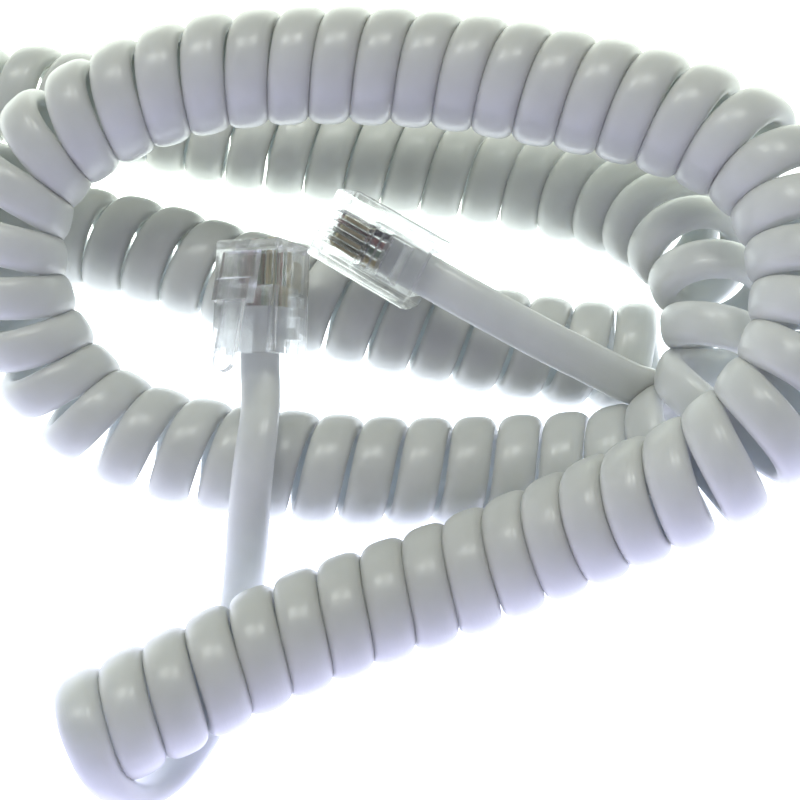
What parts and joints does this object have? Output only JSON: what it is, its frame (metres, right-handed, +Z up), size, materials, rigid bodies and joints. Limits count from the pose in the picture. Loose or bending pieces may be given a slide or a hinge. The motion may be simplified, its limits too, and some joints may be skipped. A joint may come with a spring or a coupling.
{
  "type": "coiled telephone handset cord",
  "caption": "Light grey coiled handset cord, loosely folded, with a clear modular plug on a short straight tail at each end; each plug has a sprung latch.",
  "frame": {"origin": "on the table under the middle of the cord's whole box", "axes": "+Z up from the table, +X along the long side of the folded cord, +Y away from the loose end"},
  "size_m": [0.1073, 0.091, 0.036],
  "materials": {
    "cord_jacket": "soft glossy moulded PVC",
    "clear_plug": "clear polished polycarbonate",
    "gold_contact": "gold plated, polished",
    "core_black": "satin insulation",
    "core_red": "satin insulation",
    "core_green": "satin insulation",
    "core_yellow": "satin insulation"
  },
  "bodies": {
    "cord": {"coil": "cord_jacket", "tail_a": "cord_jacket", "tail_b": "cord_jacket", "housing_a": "clear_plug", "jacket_clamp_a": "clear_plug", "core_clamp_a": "clear_plug", "contact_a1": "gold_contact", "conductor_a_black": "core_black", "contact_a2": "gold_contact", "conductor_a_red": "core_red", "contact_a3": "gold_contact", "conductor_a_green": "core_green", "contact_a4": "gold_contact", "conductor_a_yellow": "core_yellow", "housing_b": "clear_plug", "jacket_clamp_b": "clear_plug", "core_clamp_b": "clear_plug", "contact_b1": "gold_contact", "conductor_b_black": "core_black", "contact_b2": "gold_contact", "conductor_b_red": "core_red", "contact_b3": "gold_contact", "conductor_b_green": "core_green", "contact_b4": "gold_contact", "conductor_b_yellow": "core_yellow"},
    "latch_a": {"latch_a": "clear_plug"},
    "latch_b": {"latch_b": "clear_plug"}
  },
  "joints": [
    {"name": "latch_a_hinge", "type": "hinge", "parent": "cord", "child": "latch_a", "pos_m": [-0.00706, 0.00981, 0.02112], "axis": [0.8856, -0.1713, 0.4318], "range_deg": [0, 10], "stiffness_Nm_per_rad": 0.05},
    {"name": "latch_b_hinge", "type": "hinge", "parent": "cord", "child": "latch_b", "pos_m": [0.00454, 0.01615, 0.01487], "axis": [-0.4568, -0.7034, -0.5446], "range_deg": [0, 10], "stiffness_Nm_per_rad": 0.05}
  ]
}
